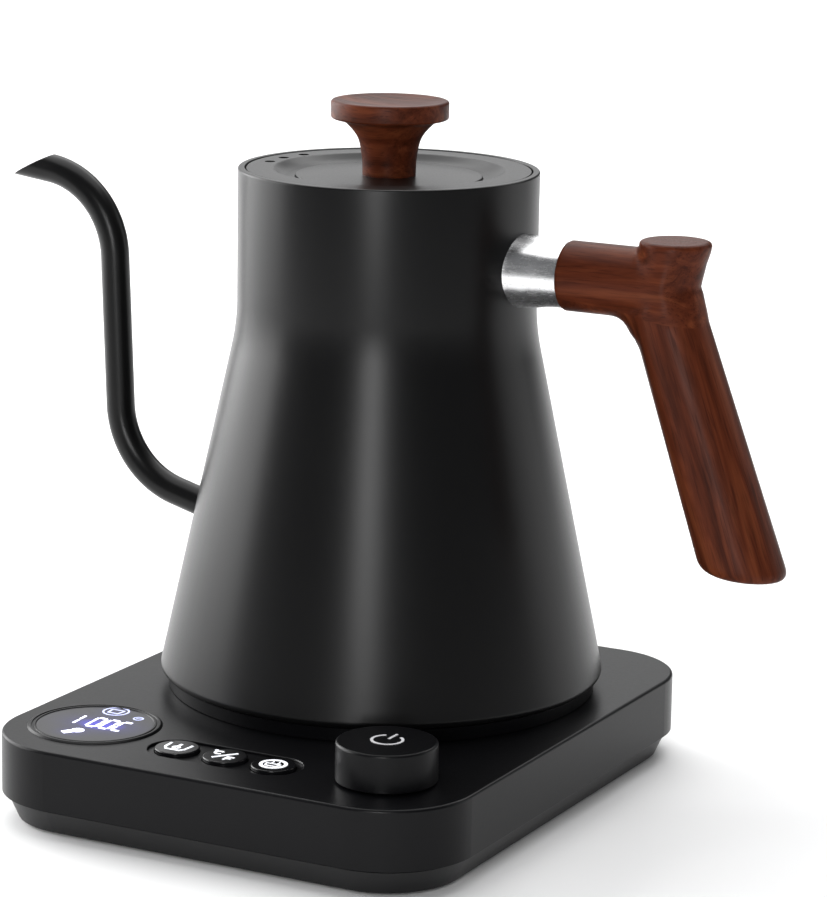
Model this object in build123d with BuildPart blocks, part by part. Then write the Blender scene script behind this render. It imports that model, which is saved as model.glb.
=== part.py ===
from build123d import *
import math
import os

# Electric gooseneck kettle on its powered base. Units are millimetres, +Z is up, the floor is
# z = 0, the control panel faces -Y, the spout points to -X and the handle to +X.
os.makedirs("parts", exist_ok=True)

# ---- driving dimensions: base ----
BASE_WIDTH = 158.0
BASE_DEPTH = 194.0
BASE_CORNER = 28.0
FOOT_STAND = 1.2
HOUSING_BOTTOM = 9.2
BASE_TOP = 27.9
HOUSING_WALL = 2.5
CEILING = BASE_TOP - HOUSING_WALL
PLATE_INSET_LOW = 5.0
PLATE_INSET_HIGH = 1.7
PLATE_FLOOR = 3.4
PLATE_RIM = 8.4
TONGUE_TOP = 11.0
TRAY_INSET = 6.5
FEET_AT = [(57.0, 75.0), (-57.0, 75.0), (-57.0, -75.0), (57.0, -75.0)]
FOOT_RADIUS = 7.0
FOOT_HEIGHT = 1.8
BASE_SCREWS_AT = [(38.0, 86.0), (-38.0, 86.0), (-38.0, -86.0), (38.0, -86.0)]

# ---- driving dimensions: control panel ----
KNOB_AT = (50.8, -69.1)
KNOB_RADIUS = 15.2
KNOB_BOTTOM = 28.7
KNOB_TOP = 40.2
DISPLAY_AT = (-52.5, -65.8)
BEZEL_RADIUS = 20.8
WINDOW_RADIUS = 18.0
BUTTON_PITCH = 16.7
BUTTON_ROW = (-1.5, -73.7)
BUTTON_RADIUS = 6.8
BUTTON_TOP = BASE_TOP + 0.5
POCKET_RADIUS = 8.9
POCKET_DEPTH = 0.8
POCKET_ROUNDING = 0.4
BOARD_BOTTOM = 14.4
BOARD_TOP = 16.0

# ---- driving dimensions: kettle ----
KETTLE_X = 0.0
KETTLE_Y = 22.1
COVER_BOTTOM = 28.1
BODY_BOTTOM = 32.5
CONE_RADIUS = 71.1
NECK_RADIUS = 47.1
CONE_TOP = 144.95
CONE_BLEND = 71.0
RIM_TOP = 194.0
WALL = 1.0
LID_SEAT = 190.8
LID_BORE = 44.9
MOUTH = 43.0
VESSEL_FLOOR = 44.0

# ---- driving dimensions: spout and handle ----
SPOUT_RADIUS = 4.68
SPOUT_WALL = 0.7
SPOUT_ROUTE = [(-55.0, 75.2), (-97.7, 86.5), (-101.8, 180.8), (-146.0, 186.2)]
SPOUT_BENDS = [28.9, 28.0]
SPOUT_LIP = (-139.8, 180.4)
SPOUT_CROWN = (-122.3, 189.4)
HANDLE_AXIS_Z = 166.1
BARREL_RADIUS = 10.85
BARREL_START = 62.6
CAP_X = 97.9
CAP_TOP = 180.0
CAP_BOTTOM = 160.0
CAP_RADIUS = 11.1
CAP_WAIST = 8.3
SCOOP_RADIUS = 25.0
SCOOP_Z = 166.5
GRIP_TOP = (95.2, 160.2)
GRIP_FOOT = (127.5, 70.2)
GRIP_CUT = 79.6
GRIP_CUT_TILT = 3.5
GRIP_RADIUS_TOP = (11.1, 10.9)
GRIP_RADIUS_FOOT = (13.3, 12.6)

# ---- driving dimensions: mains lead ----
CORD_RADIUS = 3.5
CORD_Z = 3.6
COIL_AT = (-67.0, 168.0)
COIL_OUTER_TURN = 49.0
COIL_INNER_TURN = 28.0
GLAND_X = COIL_AT[0] + COIL_OUTER_TURN
GLAND_Z = 14.2
GLAND_END = 119.0
PLUG_AXIS_Z = 8.5
PLUG_RADIUS = 19.0
PLUG_HEIGHT = 23.0
RELIEF_LENGTH = 23.0
LEAD_ROUTE = [
    (GLAND_X, GLAND_END, GLAND_Z),
    (GLAND_X, 134.0, 13.4),
    (GLAND_X, 151.0, 5.2),
    (GLAND_X, COIL_AT[1], CORD_Z),
]
TAIL_ROUTE = [
    (COIL_AT[0] + COIL_INNER_TURN, COIL_AT[1], 8.0),
    (-39.0, 183.0, 11.2),
    (-39.8, 204.0, 11.2),
    (-45.0, 221.0, 6.4),
    (-57.0, 234.5, 4.2),
    (-73.0, 241.0, 5.2),
    (-88.0, 241.5, PLUG_AXIS_Z),
]

KETTLE_AXIS = Axis((KETTLE_X, KETTLE_Y, 0), (0, 0, 1))
SIDE_PLANE = Plane(origin=(0, KETTLE_Y, 0), x_dir=(1, 0, 0), z_dir=(0, -1, 0))


def write(piece, label):
    """Label one finished sub-part and write its STEP file."""
    piece.part.label = label
    export_step(piece.part, f"parts/{label}.step")


def disc(radius, low, high, at=(0.0, 0.0), mode=Mode.ADD):
    """A vertical cylinder between two heights, in the part being built."""
    with BuildSketch(Plane.XY.offset(low)) as outline:
        with Locations(at):
            Circle(radius)
    extrude(outline.sketch, amount=high - low, mode=mode)


def ring(outer, inner, low, high, at=(0.0, 0.0), mode=Mode.ADD):
    """A vertical tube between two heights, in the part being built."""
    with BuildSketch(Plane.XY.offset(low)) as outline:
        with Locations(at):
            Circle(outer)
            Circle(inner, mode=Mode.SUBTRACT)
    extrude(outline.sketch, amount=high - low, mode=mode)


def block(width, depth, low, high, at=(0.0, 0.0), mode=Mode.ADD):
    """An upright box between two heights, in the part being built."""
    with BuildSketch(Plane.XY.offset(low)) as outline:
        with Locations(at):
            Rectangle(width, depth)
    extrude(outline.sketch, amount=high - low, mode=mode)


def slab(inset, low, high, mode=Mode.ADD):
    """A rounded rectangle that follows the base's outline at a constant inset."""
    with BuildSketch(Plane.XY.offset(low)) as outline:
        RectangleRounded(BASE_WIDTH - 2 * inset, BASE_DEPTH - 2 * inset, BASE_CORNER - inset)
    extrude(outline.sketch, amount=high - low, mode=mode)


def turned(points, at=(KETTLE_X, KETTLE_Y), mode=Mode.ADD):
    """Turn a closed outline of (radius, height) points about a vertical axis."""
    plane = Plane(origin=(at[0], at[1], 0), x_dir=(1, 0, 0), z_dir=(0, -1, 0))
    with BuildSketch(plane) as section:
        with BuildLine():
            Polyline(*points, close=True)
        make_face()
    revolve(section.sketch, axis=Axis((at[0], at[1], 0), (0, 0, 1)), mode=mode)


def around(centre, radius, start, count):
    """Points spaced evenly on a circle, the first one at the start angle in degrees."""
    angles = [math.radians(start + 360.0 * index / count) for index in range(count)]
    return [(centre[0] + radius * math.cos(a), centre[1] + radius * math.sin(a)) for a in angles]


KETTLE_AT = (KETTLE_X, KETTLE_Y)
BUTTONS_AT = [(BUTTON_ROW[0] + step * BUTTON_PITCH, BUTTON_ROW[1]) for step in (-1, 0, 1)]

# =============================== base ===============================

BOSS_RADIUS = 4.0
SCREW_HOLE = 1.55
CONTROL_POSTS_AT = [(-68.0, -48.0), (-30.0, -48.0), (30.0, -48.0), (62.0, -48.0)]
POST_RADIUS = 2.6
POST_HOLE = 1.1
DISPLAY_HOLE = 20.1
BUTTON_HOLE = 7.1
BUSHING_HOLE = 3.7
TOWER_RADIUS = 19.0
GLAND_HOLE = 6.0

with BuildPart() as base_top_housing:
    slab(0.0, HOUSING_BOTTOM, BASE_TOP)
    fillet(base_top_housing.edges().group_by(Axis.Z)[-1], 1.0)
    slab(HOUSING_WALL, HOUSING_BOTTOM, CEILING, mode=Mode.SUBTRACT)
    for spot in BASE_SCREWS_AT:
        ring(BOSS_RADIUS, SCREW_HOLE, 5.6, CEILING, at=spot)
    for spot in CONTROL_POSTS_AT:
        ring(POST_RADIUS, POST_HOLE, BOARD_TOP, CEILING, at=spot)
    with BuildSketch(Plane.XY.offset(BASE_TOP)) as button_pocket:
        with Locations(BUTTON_ROW):
            SlotCenterToCenter(2 * BUTTON_PITCH, 2 * POCKET_RADIUS)
    extrude(button_pocket.sketch, amount=-POCKET_DEPTH, mode=Mode.SUBTRACT)
    top_edges = base_top_housing.edges().filter_by_position(Axis.Z, BASE_TOP - 0.01, BASE_TOP + 0.01)
    pocket_rim = [edge for edge in top_edges if abs(edge.center().Y - BUTTON_ROW[1]) < POCKET_RADIUS + 1]
    fillet(pocket_rim, POCKET_ROUNDING)
    for spot in BUTTONS_AT:
        disc(BUTTON_HOLE, CEILING - 1, BASE_TOP, at=spot, mode=Mode.SUBTRACT)
    disc(DISPLAY_HOLE, CEILING - 1, BASE_TOP + 1, at=DISPLAY_AT, mode=Mode.SUBTRACT)
    disc(BUSHING_HOLE, CEILING - 1, BASE_TOP + 1, at=KNOB_AT, mode=Mode.SUBTRACT)
    disc(TOWER_RADIUS + 0.2, CEILING - 1, BASE_TOP + 1, at=KETTLE_AT, mode=Mode.SUBTRACT)
    with BuildSketch(Plane.XZ.offset(-BASE_DEPTH / 2 - 1)) as gland_hole:
        with Locations((GLAND_X, GLAND_Z)):
            Circle(GLAND_HOLE)
    extrude(gland_hole.sketch, amount=HOUSING_WALL + 2, mode=Mode.SUBTRACT)
write(base_top_housing, "base_top_housing")

CLAMP_AT = (GLAND_X, 81.5)
CLAMP_SEAT = 9.9
MAIN_BOARD_AT = (-50.0, 15.0)
MAIN_POSTS_AT = [(-68.0, -21.0), (-32.0, -21.0), (-68.0, 51.0), (-32.0, 51.0)]
MAIN_BOARD_BOTTOM = 8.0
MAIN_BOARD_TOP = 9.6

with BuildPart() as base_bottom_plate:
    with BuildSketch(Plane.XY.offset(FOOT_STAND)) as plate_low:
        RectangleRounded(
            BASE_WIDTH - 2 * PLATE_INSET_LOW,
            BASE_DEPTH - 2 * PLATE_INSET_LOW,
            BASE_CORNER - PLATE_INSET_LOW,
        )
    with BuildSketch(Plane.XY.offset(PLATE_RIM)) as plate_high:
        RectangleRounded(
            BASE_WIDTH - 2 * PLATE_INSET_HIGH,
            BASE_DEPTH - 2 * PLATE_INSET_HIGH,
            BASE_CORNER - PLATE_INSET_HIGH,
        )
    loft()
    slab(HOUSING_WALL + 0.5, PLATE_RIM, TONGUE_TOP)
    slab(TRAY_INSET, PLATE_FLOOR, TONGUE_TOP, mode=Mode.SUBTRACT)
    for spot in BASE_SCREWS_AT:
        disc(BOSS_RADIUS + 1, PLATE_FLOOR, 5.4, at=spot)
        disc(3.1, FOOT_STAND, 3.1, at=spot, mode=Mode.SUBTRACT)
        disc(SCREW_HOLE, FOOT_STAND, 5.4, at=spot, mode=Mode.SUBTRACT)
    for spot in FEET_AT:
        disc(FOOT_RADIUS + 0.1, FOOT_STAND, FOOT_HEIGHT, at=spot, mode=Mode.SUBTRACT)
    for spot in MAIN_POSTS_AT:
        ring(3.0, POST_HOLE, PLATE_FLOOR, MAIN_BOARD_BOTTOM, at=spot)
    block(16.0, 7.0, PLATE_FLOOR, CLAMP_SEAT, at=CLAMP_AT)
    block(17.0, 6.0, 6.0, TONGUE_TOP, at=(GLAND_X, 92.6), mode=Mode.SUBTRACT)
write(base_bottom_plate, "base_bottom_plate")

with BuildPart() as rubber_feet:
    for spot in FEET_AT:
        disc(FOOT_RADIUS, 0.0, FOOT_HEIGHT, at=spot)
write(rubber_feet, "rubber_feet")

with BuildPart() as base_screws:
    for spot in BASE_SCREWS_AT:
        disc(2.8, 1.4, 3.1, at=spot)
        disc(1.2, 1.2, 2.2, at=spot, mode=Mode.SUBTRACT)
        disc(1.5, 3.1, 14.0, at=spot)
write(base_screws, "base_screws")

# The fixed power connector: a round tower with a ring slot and a centre hole, so that the kettle
# can stand on it at any angle.
TOWER_TOP = 33.5
SLOT_OUTER = 14.6
SLOT_INNER = 11.4
CENTRE_HOLE = 4.0
SLOT_FLOOR = 26.0

with BuildPart() as power_connector:
    disc(TOWER_RADIUS, 16.0, TOWER_TOP, at=KETTLE_AT)
    fillet(power_connector.edges().group_by(Axis.Z)[-1], 1.2)
    disc(24.0, CEILING - 2, CEILING, at=KETTLE_AT)
    ring(SLOT_OUTER, SLOT_INNER, SLOT_FLOOR, TOWER_TOP + 1, at=KETTLE_AT, mode=Mode.SUBTRACT)
    disc(CENTRE_HOLE, SLOT_FLOOR, TOWER_TOP + 1, at=KETTLE_AT, mode=Mode.SUBTRACT)
write(power_connector, "power_connector")

with BuildPart() as connector_contacts:
    ring(SLOT_INNER + 0.6, SLOT_INNER, SLOT_FLOOR, 31.5, at=KETTLE_AT)
    ring(CENTRE_HOLE, CENTRE_HOLE - 0.7, SLOT_FLOOR, 31.5, at=KETTLE_AT)
write(connector_contacts, "connector_contacts")

with BuildPart() as connector_seal:
    ring(23.0, TOWER_RADIUS + 0.2, BASE_TOP, BASE_TOP + 0.15, at=KETTLE_AT)
    ring(TOWER_RADIUS + 0.2, TOWER_RADIUS, CEILING, BASE_TOP + 0.15, at=KETTLE_AT)
write(connector_seal, "connector_seal")

# ---- boards and what stands on them ----
with BuildPart() as main_circuit_board:
    block(44.0, 80.0, MAIN_BOARD_BOTTOM, MAIN_BOARD_TOP, at=MAIN_BOARD_AT)
    for spot in MAIN_POSTS_AT:
        disc(POST_HOLE, MAIN_BOARD_BOTTOM, MAIN_BOARD_TOP, at=spot, mode=Mode.SUBTRACT)
write(main_circuit_board, "main_circuit_board")

with BuildPart() as main_board_screws:
    for spot in MAIN_POSTS_AT:
        disc(2.4, MAIN_BOARD_TOP, MAIN_BOARD_TOP + 1.6, at=spot)
        disc(1.0, 4.5, MAIN_BOARD_TOP, at=spot)
write(main_board_screws, "main_board_screws")

with BuildPart() as power_relay:
    block(19.0, 15.5, MAIN_BOARD_TOP, MAIN_BOARD_TOP + 15.2, at=(-56.0, 0.0))
    fillet(power_relay.edges().group_by(Axis.Z)[-1], 0.8)
write(power_relay, "power_relay")

with BuildPart() as power_transformer:
    block(22.0, 20.0, MAIN_BOARD_TOP, MAIN_BOARD_TOP + 14.0, at=(-56.0, 28.0))
    block(26.0, 12.0, MAIN_BOARD_TOP + 3, MAIN_BOARD_TOP + 11, at=(-56.0, 28.0))
write(power_transformer, "power_transformer")

with BuildPart() as terminal_block:
    block(14.0, 9.0, MAIN_BOARD_TOP, MAIN_BOARD_TOP + 9.0, at=(-50.0, 49.0))
    for step in (-4.5, 0.0, 4.5):
        disc(1.3, MAIN_BOARD_TOP + 4, MAIN_BOARD_TOP + 9, at=(-50.0 + step, 49.0), mode=Mode.SUBTRACT)
write(terminal_block, "terminal_block")

with BuildPart() as control_board:
    block(138.0, 37.0, BOARD_BOTTOM, BOARD_TOP, at=(-3.5, -62.5))
    for spot in CONTROL_POSTS_AT:
        disc(POST_HOLE, BOARD_BOTTOM, BOARD_TOP, at=spot, mode=Mode.SUBTRACT)
write(control_board, "control_board")

with BuildPart() as control_board_screws:
    for spot in CONTROL_POSTS_AT:
        disc(2.3, BOARD_BOTTOM - 1.6, BOARD_BOTTOM, at=spot)
        disc(1.0, BOARD_BOTTOM, 21.0, at=spot)
write(control_board_screws, "control_board_screws")

WINDOW_BOTTOM = 26.6
WINDOW_TOP = 28.2

with BuildPart() as display_module:
    disc(15.4, BOARD_TOP, 25.6, at=DISPLAY_AT)
write(display_module, "display_module")

with BuildPart() as display_bezel:
    ring(BEZEL_RADIUS, WINDOW_RADIUS, BASE_TOP, 28.5, at=DISPLAY_AT)
    fillet(display_bezel.edges().group_by(Axis.Z)[-1].sort_by(SortBy.RADIUS)[-1], 0.3)
    ring(DISPLAY_HOLE, WINDOW_RADIUS, 23.0, BASE_TOP, at=DISPLAY_AT)
    ring(WINDOW_RADIUS, 16.4, 23.0, WINDOW_BOTTOM, at=DISPLAY_AT)
write(display_bezel, "display_bezel")

with BuildPart() as display_window:
    disc(WINDOW_RADIUS, WINDOW_BOTTOM, WINDOW_TOP, at=DISPLAY_AT)
write(display_window, "display_window")

SWITCH_TOP = 19.5
PLUNGER_TOP = 20.1

with BuildPart() as button_switches:
    for spot in BUTTONS_AT:
        block(6.2, 6.2, BOARD_TOP, SWITCH_TOP, at=spot)
        disc(1.7, SWITCH_TOP, PLUNGER_TOP, at=spot)
write(button_switches, "button_switches")

with BuildPart() as buzzer:
    disc(6.0, BOARD_TOP, 22.0, at=(30.0, -62.0))
    disc(0.9, 20.0, 22.0, at=(30.0, -62.0), mode=Mode.SUBTRACT)
write(buzzer, "buzzer")


def push_button(spot, label):
    """A round key: cap through the panel, retaining flange under it, and a stem to its switch."""
    with BuildPart() as button:
        disc(BUTTON_RADIUS, 24.9, BUTTON_TOP, at=spot)
        fillet(button.edges().group_by(Axis.Z)[-1], 0.4)
        disc(BUTTON_RADIUS + 1.1, 23.7, 24.9, at=spot)
        disc(2.0, 20.8, 23.7, at=spot)
    write(button, label)


for spot, label in zip(BUTTONS_AT, ("hold_button", "unit_button", "timer_button")):
    push_button(spot, label)

# ---- rotary control: body and nut stay with the base, plunger, shaft and knob move ----
SHAFT_RADIUS = 3.0
BUSHING_TOP = 30.6

with BuildPart() as encoder_body:
    block(12.4, 12.4, BOARD_TOP, 22.6, at=KNOB_AT)
    disc(3.55, 22.6, BUSHING_TOP, at=KNOB_AT)
    disc(4.2, 17.5, 21.9, at=KNOB_AT, mode=Mode.SUBTRACT)
    disc(SHAFT_RADIUS + 0.05, 17.5, BUSHING_TOP + 1, at=KNOB_AT, mode=Mode.SUBTRACT)
write(encoder_body, "encoder_body")

with BuildPart() as encoder_nut:
    with BuildSketch(Plane.XY.offset(BASE_TOP)) as nut_outline:
        with Locations(KNOB_AT):
            RegularPolygon(5.8, 6)
            Circle(3.6, mode=Mode.SUBTRACT)
    extrude(nut_outline.sketch, amount=2.0)
write(encoder_nut, "encoder_nut")

with BuildPart() as encoder_plunger:
    disc(3.8, 18.6, 19.6, at=KNOB_AT)
write(encoder_plunger, "encoder_plunger")

with BuildPart() as encoder_shaft:
    disc(SHAFT_RADIUS, 19.9, 37.6, at=KNOB_AT)
    disc(3.8, 19.9, 21.2, at=KNOB_AT)
write(encoder_shaft, "encoder_shaft")

with BuildPart() as control_knob:
    disc(KNOB_RADIUS, KNOB_BOTTOM, KNOB_TOP, at=KNOB_AT)
    fillet(control_knob.edges().group_by(Axis.Z)[-1], 0.9)
    ring(13.2, 5.6, KNOB_BOTTOM, 38.0, at=KNOB_AT, mode=Mode.SUBTRACT)
    disc(7.4, KNOB_BOTTOM, 31.6, at=KNOB_AT, mode=Mode.SUBTRACT)
    disc(SHAFT_RADIUS, KNOB_BOTTOM, 37.6, at=KNOB_AT, mode=Mode.SUBTRACT)
write(control_knob, "control_knob")

# ============================ mains lead ============================

PLUG_AT = (TAIL_ROUTE[-1][0] - RELIEF_LENGTH - PLUG_RADIUS, TAIL_ROUTE[-1][1])
INNER_LEAD_END = 72.0
INNER_WALL = BASE_DEPTH / 2 - HOUSING_WALL


def lying_rod(radius, start, end, at, mode=Mode.ADD):
    """A cylinder along Y between two depths, centred on an (x, z) point."""
    with BuildSketch(Plane.XZ.offset(-start)) as outline:
        with Locations(at):
            Circle(radius)
    extrude(outline.sketch, amount=start - end, mode=mode)


with BuildPart() as cord_gland:
    lying_rod(7.6, INNER_WALL - 1.8, INNER_WALL, (GLAND_X, GLAND_Z))
    lying_rod(GLAND_HOLE - 0.05, INNER_WALL, BASE_DEPTH / 2, (GLAND_X, GLAND_Z))
    with BuildSketch(Plane.XZ.offset(-BASE_DEPTH / 2)) as boot_root:
        with Locations((GLAND_X, GLAND_Z)):
            Circle(6.6)
    with BuildSketch(Plane.XZ.offset(-GLAND_END)) as boot_tip:
        with Locations((GLAND_X, GLAND_Z)):
            Circle(4.8)
    loft()
write(cord_gland, "cord_gland")

with BuildPart() as inner_lead:
    lying_rod(CORD_RADIUS, INNER_LEAD_END, INNER_WALL - 1.8, (GLAND_X, GLAND_Z))
write(inner_lead, "inner_lead")

with BuildPart() as cord_clamp:
    block(16.0, 7.0, CLAMP_SEAT, 19.2, at=CLAMP_AT)
    lying_rod(CORD_RADIUS, CLAMP_AT[1] - 5, CLAMP_AT[1] + 5, (GLAND_X, GLAND_Z), mode=Mode.SUBTRACT)
write(cord_clamp, "cord_clamp")


def cord_bends(route):
    """Bend radii for a free cord: each arc as large as its two straight runs allow."""
    radii = []
    for before, corner, after in zip(route, route[1:], route[2:]):
        inward = Vector(*corner) - Vector(*before)
        outward = Vector(*after) - Vector(*corner)
        half_turn = math.radians(inward.get_angle(outward)) / 2
        radii.append(0.45 * min(inward.length, outward.length) / math.tan(half_turn))
    return radii


def cord_stretch(route, label):
    """A round lead swept along straight runs that are joined by tangent arcs."""
    radii = cord_bends(route)
    with BuildPart() as stretch:
        with BuildLine() as path:
            FilletPolyline(*route, radius=radii)
        with BuildSketch(Plane(origin=path.line @ 0, z_dir=path.line % 0)):
            Circle(CORD_RADIUS)
        sweep()
    write(stretch, label)
    length = sum(edge.length for edge in path.edges())
    swept = math.pi * CORD_RADIUS**2 * length
    print(label, "bend radii", [round(radius, 1) for radius in radii])
    print(label, "length", round(length, 1), "volume ratio", round(stretch.part.volume / swept, 4))


cord_stretch(LEAD_ROUTE, "cord_lead")
cord_stretch(TAIL_ROUTE, "cord_tail")

with BuildPart() as cord_coil:
    coil_outer = COIL_OUTER_TURN + CORD_RADIUS
    coil_inner = COIL_INNER_TURN - CORD_RADIUS
    ring(coil_outer, coil_inner, CORD_Z - CORD_RADIUS, CORD_Z + CORD_RADIUS, at=COIL_AT)
    fillet(cord_coil.edges(), 3.0)
write(cord_coil, "cord_coil")

# The plug lies on its back with the pins up. Round body, two pins 19 mm apart, side grooves
# with earth strips, and a ribbed relief that meets the lead.
PIN_RADIUS = 2.4
PIN_SPACING = 19.0
PIN_LENGTH = 19.0
GROOVE_WIDTH = 6.0

with BuildPart() as plug_body:
    disc(PLUG_RADIUS, 0.2, PLUG_HEIGHT, at=PLUG_AT)
    fillet(plug_body.edges().group_by(Axis.Z)[0], 5.0)
    fillet(plug_body.edges().group_by(Axis.Z)[-1], 1.0)
    for side in (-1, 1):
        groove_at = (PLUG_AT[0] + side * (PLUG_RADIUS + 0.4), PLUG_AT[1])
        block(5.0, GROOVE_WIDTH, PLUG_HEIGHT - 7, PLUG_HEIGHT + 1, at=groove_at, mode=Mode.SUBTRACT)
    disc(2.6, PLUG_HEIGHT - 10, PLUG_HEIGHT, at=(PLUG_AT[0] + 7.5, PLUG_AT[1]), mode=Mode.SUBTRACT)
write(plug_body, "plug_body")

with BuildPart() as plug_pins:
    for side in (-1, 1):
        pin_at = (PLUG_AT[0], PLUG_AT[1] + side * PIN_SPACING / 2)
        disc(PIN_RADIUS, PLUG_HEIGHT, PLUG_HEIGHT + PIN_LENGTH, at=pin_at)
    fillet(plug_pins.edges().group_by(Axis.Z)[-1], 1.2)
write(plug_pins, "plug_pins")

with BuildPart() as plug_earth_strips:
    for side in (-1, 1):
        strip_at = (PLUG_AT[0] + side * (PLUG_RADIUS - 1.7), PLUG_AT[1])
        block(0.8, GROOVE_WIDTH - 1.0, PLUG_HEIGHT - 7, PLUG_HEIGHT, at=strip_at)
write(plug_earth_strips, "plug_earth_strips")

with BuildPart() as plug_relief:
    relief_plane = Plane(
        origin=(PLUG_AT[0], PLUG_AT[1], PLUG_AXIS_Z), x_dir=(0, 1, 0), z_dir=(1, 0, 0)
    )
    with BuildSketch(relief_plane.offset(PLUG_RADIUS - 6)):
        Circle(6.8)
    with BuildSketch(relief_plane.offset(PLUG_RADIUS + RELIEF_LENGTH)):
        Circle(4.4)
    loft()
    for rib in range(4):
        with BuildSketch(relief_plane.offset(PLUG_RADIUS + 6 + 4 * rib)) as rib_gap:
            Circle(9.0)
            Circle(4.0, mode=Mode.SUBTRACT)
        extrude(rib_gap.sketch, amount=1.4, mode=Mode.SUBTRACT)
    disc(PLUG_RADIUS, 0.0, PLUG_HEIGHT, at=PLUG_AT, mode=Mode.SUBTRACT)
write(plug_relief, "plug_relief")

# ============================== kettle ==============================

HEM_HEIGHT = 4.5
HEM_RADIUS = 66.4
CONE_SLOPE = (CONE_RADIUS - NECK_RADIUS) / (CONE_TOP - BODY_BOTTOM)

# The closed outer shape of the vessel: a long cone that blends into a short cylinder.
with BuildPart() as vessel_envelope:
    with BuildSketch(SIDE_PLANE) as envelope_section:
        with BuildLine():
            side = FilletPolyline(
                (0, BODY_BOTTOM),
                (CONE_RADIUS, BODY_BOTTOM),
                (NECK_RADIUS, CONE_TOP),
                (NECK_RADIUS, RIM_TOP),
                (0, RIM_TOP),
                radius=[2.2, CONE_BLEND, 0.7],
            )
            Line(side @ 1, side @ 0)
        make_face()
    revolve(axis=KETTLE_AXIS)

CAVITY_LOW = BODY_BOTTOM + HEM_HEIGHT
CAVITY_TOP = 189.6
SPOUT_PATH_START = Vector(SPOUT_ROUTE[0][0], KETTLE_Y, SPOUT_ROUTE[0][1])
SPOUT_FIRST_BEND = Vector(SPOUT_ROUTE[1][0], KETTLE_Y, SPOUT_ROUTE[1][1])
SPOUT_ROOT = Plane(origin=SPOUT_PATH_START, z_dir=SPOUT_FIRST_BEND - SPOUT_PATH_START)

with BuildPart() as kettle_body:
    add(vessel_envelope.part)
    with BuildSketch(SIDE_PLANE) as cavity_section:
        with BuildLine():
            inner_low = CONE_RADIUS - WALL - CONE_SLOPE * HEM_HEIGHT
            wall_line = FilletPolyline(
                (0, CAVITY_LOW),
                (inner_low, CAVITY_LOW),
                (NECK_RADIUS - WALL, CONE_TOP),
                (NECK_RADIUS - WALL, CAVITY_TOP),
                (0, CAVITY_TOP),
                radius=[0.5, CONE_BLEND, 0.5],
            )
            Line(wall_line @ 1, wall_line @ 0)
        make_face()
    revolve(axis=KETTLE_AXIS, mode=Mode.SUBTRACT)
    disc(HEM_RADIUS, BODY_BOTTOM - 1, CAVITY_LOW + 0.5, at=KETTLE_AT, mode=Mode.SUBTRACT)
    disc(MOUTH, CAVITY_TOP - 1, RIM_TOP + 1, at=KETTLE_AT, mode=Mode.SUBTRACT)
    disc(LID_BORE, LID_SEAT, RIM_TOP + 1, at=KETTLE_AT, mode=Mode.SUBTRACT)
    with BuildSketch(SPOUT_ROOT) as spout_hole:
        Circle(SPOUT_RADIUS - SPOUT_WALL)
    extrude(spout_hole.sketch, amount=20, mode=Mode.SUBTRACT)
write(kettle_body, "kettle_body")

with BuildPart() as spout_tube:
    with BuildLine() as spout_path:
        spout_points = [(x, KETTLE_Y, z) for x, z in SPOUT_ROUTE]
        FilletPolyline(*spout_points, radius=SPOUT_BENDS)
    with BuildSketch(SPOUT_ROOT):
        Circle(SPOUT_RADIUS)
        Circle(SPOUT_RADIUS - SPOUT_WALL, mode=Mode.SUBTRACT)
    sweep()
    add(vessel_envelope.part, mode=Mode.SUBTRACT)
    with BuildSketch(SIDE_PLANE.offset(-20)) as beyond_lip:
        with BuildLine():
            reach_x = SPOUT_CROWN[0] - SPOUT_LIP[0]
            reach_z = SPOUT_CROWN[1] - SPOUT_LIP[1]
            Polyline(
                (SPOUT_LIP[0] - reach_x, SPOUT_LIP[1] - reach_z),
                (SPOUT_CROWN[0] + reach_x, SPOUT_CROWN[1] + reach_z),
                (SPOUT_LIP[0] - 2 * reach_x, SPOUT_CROWN[1] + 3 * reach_z),
                close=True,
            )
        make_face()
    extrude(beyond_lip.sketch, amount=40, mode=Mode.SUBTRACT)
write(spout_tube, "spout_tube")

# ---- floor, heater and everything under it ----
COVER_SCREWS_AT = around(KETTLE_AT, 56.0, 90.0, 3)
PROBE_AT = (30.0, KETTLE_Y)
SPREADER_BOTTOM = 40.5
FLOOR_THICKNESS = 1.0

with BuildPart() as vessel_floor:
    disc(67.3, VESSEL_FLOOR, VESSEL_FLOOR + FLOOR_THICKNESS, at=KETTLE_AT)
    disc(4.0, VESSEL_FLOOR, VESSEL_FLOOR + FLOOR_THICKNESS, at=PROBE_AT, mode=Mode.SUBTRACT)
    for spot in COVER_SCREWS_AT:
        ring(3.4, 1.25, 35.0, VESSEL_FLOOR, at=spot)
write(vessel_floor, "vessel_floor")

with BuildPart() as heat_spreader:
    disc(50.0, SPREADER_BOTTOM, VESSEL_FLOOR, at=KETTLE_AT)
    disc(4.0, SPREADER_BOTTOM, VESSEL_FLOOR, at=PROBE_AT, mode=Mode.SUBTRACT)
write(heat_spreader, "heat_spreader")

with BuildPart() as heating_element:
    with BuildSketch(SIDE_PLANE) as element_section:
        with Locations((42.0, SPREADER_BOTTOM - 3.0)):
            Circle(3.0)
    revolve(axis=KETTLE_AXIS, revolution_arc=310)
write(heating_element, "heating_element")

with BuildPart() as temperature_probe:
    disc(3.0, 36.5, 51.0, at=PROBE_AT)
    disc(5.0, 38.5, SPREADER_BOTTOM, at=PROBE_AT)
    fillet(temperature_probe.edges().group_by(Axis.Z)[-1], 1.0)
write(temperature_probe, "temperature_probe")

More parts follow.
